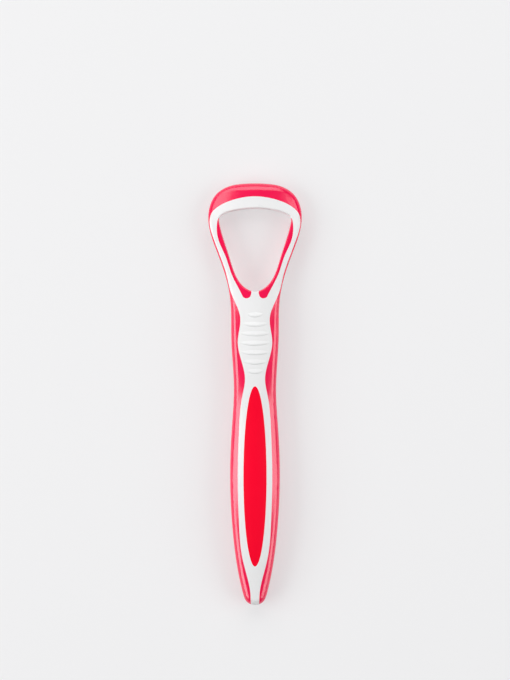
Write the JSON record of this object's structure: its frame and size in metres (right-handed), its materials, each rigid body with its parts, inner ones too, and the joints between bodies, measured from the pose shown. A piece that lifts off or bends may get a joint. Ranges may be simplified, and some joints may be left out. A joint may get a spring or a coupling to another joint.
{
  "type": "tongue scraper",
  "caption": "Hand-held tongue scraper: slim soft-gripped plastic handle with a ribbed thumb rest, widening into an open loop with an arched hard bar and a soft scraping lip.",
  "frame": {"origin": "centre of the bounding box's underside: on the middle line, halfway along the tool, on the plane that it rests on", "axes": "+Y along the tool from the tail to the scraping lip, +Z from the back to the front with the thumb ribs, +X to the right when the front is seen with the lip at the top"},
  "size_m": [0.0332, 0.15, 0.0107],
  "materials": {
    "hard_white": "satin",
    "soft_red": "matte"
  },
  "bodies": {
    "root": {"core_frame": "hard_white", "outer_band": "soft_red", "loop_lining_left": "soft_red", "loop_lining_right": "soft_red", "front_grip_pad": "soft_red", "back_grip_pad": "soft_red"}
  },
  "joints": []
}
